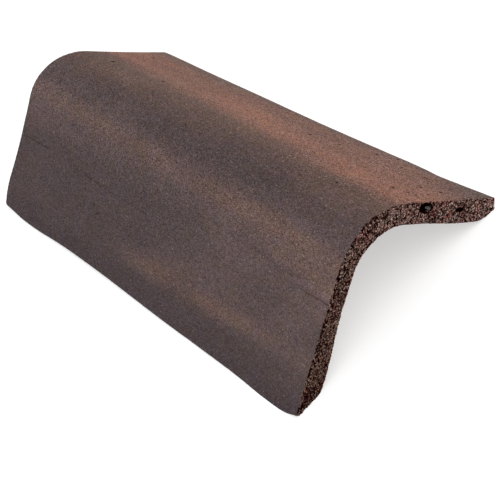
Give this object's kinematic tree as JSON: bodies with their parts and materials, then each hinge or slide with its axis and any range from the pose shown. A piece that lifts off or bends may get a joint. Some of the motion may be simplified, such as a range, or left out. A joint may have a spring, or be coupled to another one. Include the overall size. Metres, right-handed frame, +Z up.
{
  "type": "verge tile",
  "caption": "Concrete verge tile: a long angle with a broad rounded bend that covers a roof's gable edge and hangs down its face, standing on the lower edges of its legs.",
  "frame": {"origin": "on the floor under the middle of the tile's bounding box, with the tile standing on the lower edges of its legs", "axes": "+Y along the tile's length from its coarse cut end to its far end, +Z up through the bend, +X towards the edge of the top leg"},
  "size_m": [0.2168, 0.4266, 0.0821],
  "materials": {
    "concrete": "matt, fine sandy skin with coarse cut ends"
  },
  "bodies": {
    "root": {"verge_tile": "concrete"}
  },
  "joints": []
}
